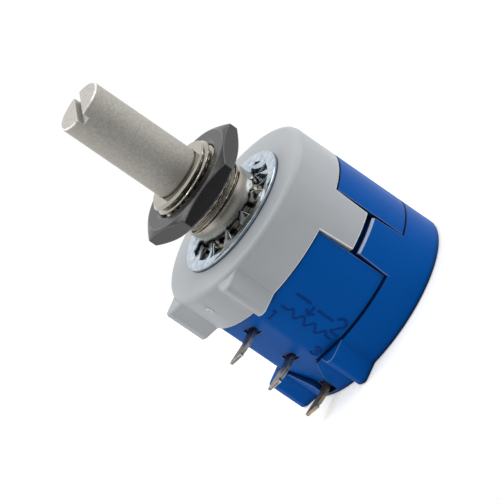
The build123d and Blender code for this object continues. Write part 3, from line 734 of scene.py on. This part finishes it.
class BuildBushing(bpy.types.Operator):
    """Make the plated bushing with its thread"""
    bl_idname = "potentiometer.bushing"
    bl_label = "Bushing"

    bore = 2.84 * MM
    shank = 5.2 * MM  # radius inside the lid's wall
    flange_front = -2.02 * MM
    undercut = 4.15 * MM
    undercut_end = 0.65 * MM
    relief = 4.45 * MM  # radius of the smooth seat behind the thread
    relief_chamfer = 0.12 * MM
    relief_gap = 0.02 * MM  # keeps the thread's mark off the seat
    front_chamfer = 0.4 * MM
    bore_chamfer = 0.25 * MM
    thread_depth = 0.46 * MM
    crest_end, root_start = 0.07, 0.44  # where a flank lies, in pitches from the crest's middle
    rows_per_turn = 24
    segments = 160

    def execute(self, context):
        settings = context.scene.potentiometer.metal
        # Bright nickel on turned brass: a warm mirror, broken into fine lines by the tool's marks.
        # Their real spacing, about 0.05 mm, is drawn as 0.12 mm so that it shows.
        # Painted shade darkens narrow gaps such as the thread's valleys
        nickel = turned_metal("bright_nickel_plate", settings.nickel_colour, 0.11,
                              spacing_mm=0.12, depth_mm=0.003, patch_mm=2.5, amount=0.04,
                              gap=0.95, gap_mm=0.16, thread_lines_mm=0.012)
        mesh = lathe("bushing", self.outline(settings), self.segments)
        self.mark_thread(mesh, settings)
        values = {"Pitch": settings.thread_pitch, "Crest": settings.thread_radius,
                  "Root": settings.thread_radius - self.thread_depth,
                  "Start": settings.thread_start, "Relief": self.relief, "Reach": BUSHING_REACH,
                  "Chamfer": self.front_chamfer}
        mesh = grown(mesh, self.thread_tree(nickel), values)
        smooth(mesh, angle=radians(38))
        piece("threaded_bushing", mesh, nickel, "case", ["bushing"])
        return {"FINISHED"}

    def outline(self, settings):
        """Round the section: bore, front face, thread, relief, undercut, shank and flange."""
        crest, start, front = settings.thread_radius, settings.thread_start, BUSHING_REACH
        rows = int((front - start) / settings.thread_pitch * self.rows_per_turn)
        return [
            (self.bore, FLANGE_REAR),
            (self.bore, front - self.bore_chamfer),
            (self.bore + self.bore_chamfer, front),
            (crest - self.front_chamfer, front),
            *[(crest, front - (front - start) * (row + 1) / rows) for row in range(rows)],
            (self.relief, start - self.relief_gap),
            (self.relief, self.undercut_end + self.relief_chamfer),
            (self.relief - self.relief_chamfer, self.undercut_end),
            (self.undercut, self.undercut_end),
            (self.undercut, 0),
            (self.shank, 0),
            (self.shank, self.flange_front),
            (FLANGE_RADIUS, self.flange_front),
            (FLANGE_RADIUS, FLANGE_REAR),
        ]

    def mark_thread(self, mesh, settings):
        """Marks the points that the thread's rule moves."""
        mark = mesh.attributes.new("on_thread", "BOOLEAN", "POINT")
        for vertex in mesh.vertices:
            away = vertex.co.xy.length > settings.thread_radius - MERGE
            mark.data[vertex.index].value = away and vertex.co.z > settings.thread_start - MERGE

    def thread_tree(self, material):
        """Moves the marked points to the thread's radius at their angle and height."""
        names = ("Pitch", "Crest", "Root", "Start", "Relief", "Reach", "Chamfer")
        tree, given = new_tree("screw_thread", dict.fromkeys(names, "NodeSocketFloat"))
        place = add(tree, "GeometryNodeInputPosition")
        x, y, z = add(tree, "ShaderNodeSeparateXYZ", {0: place}).outputs
        angle = add(tree, "ShaderNodeMath", {0: y, 1: x}, operation="ARCTAN2")
        turn = add(tree, "ShaderNodeMath", {0: angle, 1: 2 * pi}, operation="DIVIDE")
        height = add(tree, "ShaderNodeMath", {0: z, 1: given["Pitch"]}, operation="DIVIDE")
        screw = add(tree, "ShaderNodeMath", {0: height, 1: turn}, operation="SUBTRACT")
        wave = add(tree, "ShaderNodeMath", {0: screw, 1: 0.5}, operation="PINGPONG")
        flank = add(tree, "ShaderNodeMapRange",
                    {"Value": wave, "From Min": self.crest_end, "From Max": self.root_start,
                     "To Min": given["Crest"], "To Max": given["Root"]})
        past = add(tree, "ShaderNodeMath", {0: z, 1: given["Start"]}, operation="SUBTRACT")
        fade, grow = (add(tree, "ShaderNodeMath", {0: given["Relief"], 1: past}, operation=way)
                      for way in ("SUBTRACT", "ADD"))
        deep = add(tree, "ShaderNodeMath", {0: flank, 1: fade}, operation="MAXIMUM")
        held = add(tree, "ShaderNodeMath", {0: deep, 1: grow}, operation="MINIMUM")
        left = add(tree, "ShaderNodeMath", {0: given["Reach"], 1: z}, operation="SUBTRACT")
        face = add(tree, "ShaderNodeMath", {0: given["Crest"], 1: given["Chamfer"]},
                   operation="SUBTRACT")
        cone = add(tree, "ShaderNodeMath", {0: face, 1: left}, operation="ADD")
        radius = add(tree, "ShaderNodeMath", {0: held, 1: cone}, operation="MINIMUM")
        flat = add(tree, "ShaderNodeCombineXYZ", {0: x, 1: y, 2: 0.0})
        outward = add(tree, "ShaderNodeVectorMath", {0: flat}, operation="NORMALIZE")
        scaled = add(tree, "ShaderNodeVectorMath", {0: outward, "Scale": radius},
                     operation="SCALE")
        lifted = add(tree, "ShaderNodeCombineXYZ", {2: z})
        moved = add(tree, "ShaderNodeVectorMath", {0: scaled, 1: lifted}, operation="ADD")
        chosen = add(tree, "GeometryNodeInputNamedAttribute", {"Name": "on_thread"},
                     data_type="BOOLEAN")
        placed = add(tree, "GeometryNodeSetPosition",
                     {"Geometry": given["Geometry"], "Selection": chosen, "Position": moved})
        close_tree(tree, placed, material)
        return tree


class BuildShaft(bpy.types.Operator):
    """Make the ground shaft with its screwdriver slot"""
    bl_idname = "potentiometer.shaft"
    bl_label = "Shaft"

    def execute(self, context):
        settings = context.scene.potentiometer.metal
        # Centreless ground steel: a soft grey satin with a speckle. The wheel's real marks, about
        # 0.02 mm, are drawn as 0.14 mm so that they show.
        # Painted highlight on the chamfer facets and rounded edges (edge=0.7)
        steel = turned_metal("centreless_ground_steel", settings.shaft_colour, 0.7,
                             spacing_mm=0.14, depth_mm=0.008, patch_mm=0.3, amount=0.1, edge=0.7,
                             grain=0.7)
        piece("slotted_shaft", softened("shaft", settings.shaft_softness), steel, "spindle",
              ["shaft"])
        return {"FINISHED"}


class BuildNut(bpy.types.Operator):
    """Make the black panel nut"""
    bl_idname = "potentiometer.nut"
    bl_label = "Nut"

    sharp = radians(22)  # rounds the chamfers on the corners too

    def execute(self, context):
        settings = context.scene.potentiometer.metal
        # Oiled black oxide on steel: nearly black, with a soft sheen that turns grey at a glance; a
        # painted highlight lightens its rounded edges and painted shade darkens its gaps
        black = black_finish("black_finished_steel", settings.nut_colour)
        mesh = softened("panel_nut", settings.nut_softness, self.sharp)
        piece("hexagon_nut", mesh, black, "nut", ["panel_nut"])
        return {"FINISHED"}


class BuildWasher(bpy.types.Operator):
    """Make the internal-tooth lock washer"""
    bl_idname = "potentiometer.washer"
    bl_label = "Lock washer"

    rim = 6.15 * MM  # inner radius of the flat ring
    tip = 4.75 * MM  # radius at the teeth's tips
    thickness = 0.4 * MM
    rounding = 0.12 * MM  # of the edges of the ring and the teeth
    phase = radians(33)  # angle of the first tooth
    root_overlap = 0.25 * MM
    tip_share = 0.9  # width of a tooth's tip over its root's
    tooth_steps = 8

    def execute(self, context):
        settings = context.scene.potentiometer.metal
        # Bright zinc on stamped steel: a cool bluish mirror, wavy and clouded, with painted shade
        # in narrow gaps
        zinc = plated_metal("bright_zinc_plate", settings.zinc_colour, 0.11, patch_mm=0.6,
                            ripple_mm=0.45, ripple_depth_mm=0.016, amount=0.22)
        values = {"Teeth": settings.washer_teeth, "Phase": self.phase}
        whole = bmesh.new()
        whole.from_mesh(grown(self.tooth(settings), self.teeth_tree(zinc), values))
        whole.from_mesh(self.ring())
        mesh = as_mesh("washer", whole)
        smooth(mesh, angle=radians(60))
        piece("toothed_washer", mesh, zinc, "washer", ["lock_washer"])
        return {"FINISHED"}

    def section(self, half_width, count):
        """A flat section with rounded corners, about its own middle."""
        wide, high = half_width - self.rounding, self.thickness / 2 - self.rounding
        outline = []
        for side, up, start in ((1, -1, -90), (1, 1, 0), (-1, 1, 90), (-1, -1, 180)):
            centre = (side * wide, up * high)
            outline += arc_points(centre, self.rounding, start, start + 90, count)
        return outline

    def ring(self):
        """The flat ring that carries the teeth."""
        middle, height = (WASHER_RADIUS + self.rim) / 2, WASHER_SEAT + self.thickness / 2
        outline = self.section((WASHER_RADIUS - self.rim) / 2, 4)
        return lathe("ring", [(middle + a, height + b) for a, b in outline])

    def tooth(self, settings):
        """One tooth along +X: flat at the rim, twisted and lifted towards its tip."""
        half = self.thickness / 2
        lift = (WASHER_TOP - WASHER_SEAT) / 2 - half
        root = self.rim + self.root_overlap
        made = bmesh.new()
        sections = []
        for step in range(self.tooth_steps + 1):
            along = step / self.tooth_steps
            eased = along * along * (3 - 2 * along)
            radius = root + (self.tip - root) * along
            wide = settings.tooth_width / 2 * (1 + (self.tip_share - 1) * along)
            height = WASHER_SEAT + half + lift * eased
            c, s = cos(settings.tooth_twist * eased), sin(settings.tooth_twist * eased)
            sections.append([made.verts.new((radius, a * c - b * s, height + a * s + b * c))
                             for a, b in self.section(wide, 3)])
        for here, there in zip(sections, sections[1:]):
            for place in range(len(here)):
                after = (place + 1) % len(here)
                made.faces.new((here[place], here[after], there[after], there[place]))
        made.faces.new(sections[0])
        made.faces.new(sections[-1])
        bmesh.ops.recalc_face_normals(made, faces=made.faces)
        return as_mesh("tooth", made)

    def teeth_tree(self, material):
        """Sets the teeth round the rim."""
        tree, given = new_tree("washer_teeth",
                               {"Teeth": "NodeSocketInt", "Phase": "NodeSocketFloat"})
        points = add(tree, "GeometryNodePoints", {"Count": given["Teeth"], "Position": (0, 0, 0)})
        number = add(tree, "GeometryNodeInputIndex")
        step = add(tree, "ShaderNodeMath", {0: 2 * pi, 1: given["Teeth"]}, operation="DIVIDE")
        angle = add(tree, "ShaderNodeMath", {0: number, 1: step, 2: given["Phase"]},
                    operation="MULTIPLY_ADD")
        turn = add(tree, "ShaderNodeCombineXYZ", {2: angle})
        rotation = add(tree, "FunctionNodeEulerToRotation", {0: turn})
        copies = add(tree, "GeometryNodeInstanceOnPoints",
                     {"Points": points, "Instance": given["Geometry"], "Rotation": rotation})
        close_tree(tree, copies, material)
        return tree


class BuildTerminals(bpy.types.Operator):
    """Make the three terminals"""
    bl_idname = "potentiometer.terminals"
    bl_label = "Terminals"

    def execute(self, context):
        settings = context.scene.potentiometer.metal
        # Tin on stamped brass: a dull silver grey, cloudy and a little rippled, with a painted
        # highlight on its rounded edges and painted shade in narrow gaps
        tin = plated_metal("tin_plate_on_brass", settings.tin_colour, 0.33, patch_mm=0.45,
                           ripple_mm=0.3, ripple_depth_mm=0.02, amount=0.3)
        # The same, worn: warm yellow patches of the brass under it
        worn = worn_tin("worn_tin_on_brass", settings.tin_colour, settings.brass_colour)
        for number, finish in ((1, tin), (2, tin), (3, worn)):
            mesh = softened(f"terminal_{number}", settings.blade_softness)
            piece(f"blade_{number}", mesh, finish, "case", [f"terminal_{number}"])
        return {"FINISHED"}


class DressInside(bpy.types.Operator):
    """Finish the pieces inside the case"""
    bl_idname = "potentiometer.inside"
    bl_label = "Inside"

    def execute(self, context):
        # The plated and moulded finishes below also paint shade into narrow gaps, through shade()
        # Strip from the mill, satin and slightly cloudy: reddish gold bronze, yellow gold brass
        bronze = plated_metal("rolled_phosphor_bronze", linear("#c08a55"), 0.35, patch_mm=1.5)
        brass = plated_metal("rolled_brass", linear("#d8b26a"), 0.3, patch_mm=1.5)
        # Hardened wire: plain mid grey with a low shine
        spring = plated_metal("spring_steel", linear("#8c8c8e"), 0.3, patch_mm=1.0)
        # Moulded rubber: dull black, with its skin's fine grain drawn as 0.15 mm
        rubber = moulded_plastic("nitrile_rubber", linear("#1b1b1c"), 0.6, grain_mm=0.15,
                                 grain_depth_mm=0.004)
        # Nylon full of glass fibres: black and dry. They are 0.01 mm thick, drawn as 0.2 mm.
        nylon = moulded_plastic("black_glass_filled_nylon", linear("#232426"), 0.5,
                                grain_mm=0.2, grain_depth_mm=0.01)
        # Acetal without colour: milky white, waxy and smooth
        acetal = moulded_plastic("natural_acetal", linear("#e8e6dd"), 0.4, grain_mm=0.3,
                                 grain_depth_mm=0.003)
        # Nickel-chromium wire, close-wound: warm grey, ribbed across
        wire = wound_wire("resistance_wire", linear("#a2978a"))
        finishes = {
            "shaft_seal": rubber, "thrust_washer": bronze, "retaining_ring": spring,
            "resistance_element": wire, "element_lead_front": bronze,
            "element_lead_rear": bronze, "collector_lead": bronze, "collector_ring": brass,
            "collector_brush": brass, "rotor": nylon, "contact_rail": brass,
            "wiper_carriage": acetal, "wiper_contact": brass,
        }
        for node, finish in finishes.items():
            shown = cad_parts[node].data.materials
            shown.clear()
            shown.append(finish)
        return {"FINISHED"}


BUILDERS = (BuildStage, BuildCase, BuildMarkings, BuildBushing, BuildShaft, BuildNut, BuildWasher,
            BuildTerminals, DressInside)


class PotentiometerPanel(bpy.types.Panel):
    """Lists the settings and the pieces in the sidebar"""
    bl_idname = "VIEW3D_PT_potentiometer"
    bl_label = "Ten-turn potentiometer"
    bl_space_type = "VIEW_3D"
    bl_region_type = "UI"
    bl_category = "Potentiometer"

    def draw(self, context):
        settings = context.scene.potentiometer
        for group in (settings.plastic, settings.metal, settings.stage):
            box = self.layout.box()
            for name in group.bl_rna.properties.keys():
                if name not in ("rna_type", "name"):
                    box.prop(group, name)
        for builder in BUILDERS:
            self.layout.operator(builder.bl_idname)


CLASSES = (PlasticSettings, MetalSettings, StageSettings, PotentiometerSettings, *BUILDERS,
           PotentiometerPanel)


def register():
    for entry in CLASSES:
        bpy.utils.register_class(entry)
    bpy.types.Scene.potentiometer = PointerProperty(type=PotentiometerSettings)


def unregister():
    del bpy.types.Scene.potentiometer
    for entry in reversed(CLASSES):
        bpy.utils.unregister_class(entry)


def main():
    register()
    bpy.ops.potentiometer.stage()
    bpy.ops.potentiometer.case()
    bpy.ops.potentiometer.markings()
    bpy.ops.potentiometer.bushing()
    bpy.ops.potentiometer.shaft()
    bpy.ops.potentiometer.nut()
    bpy.ops.potentiometer.washer()
    bpy.ops.potentiometer.terminals()
    bpy.ops.potentiometer.inside()


if __name__ == "__main__":
    main()
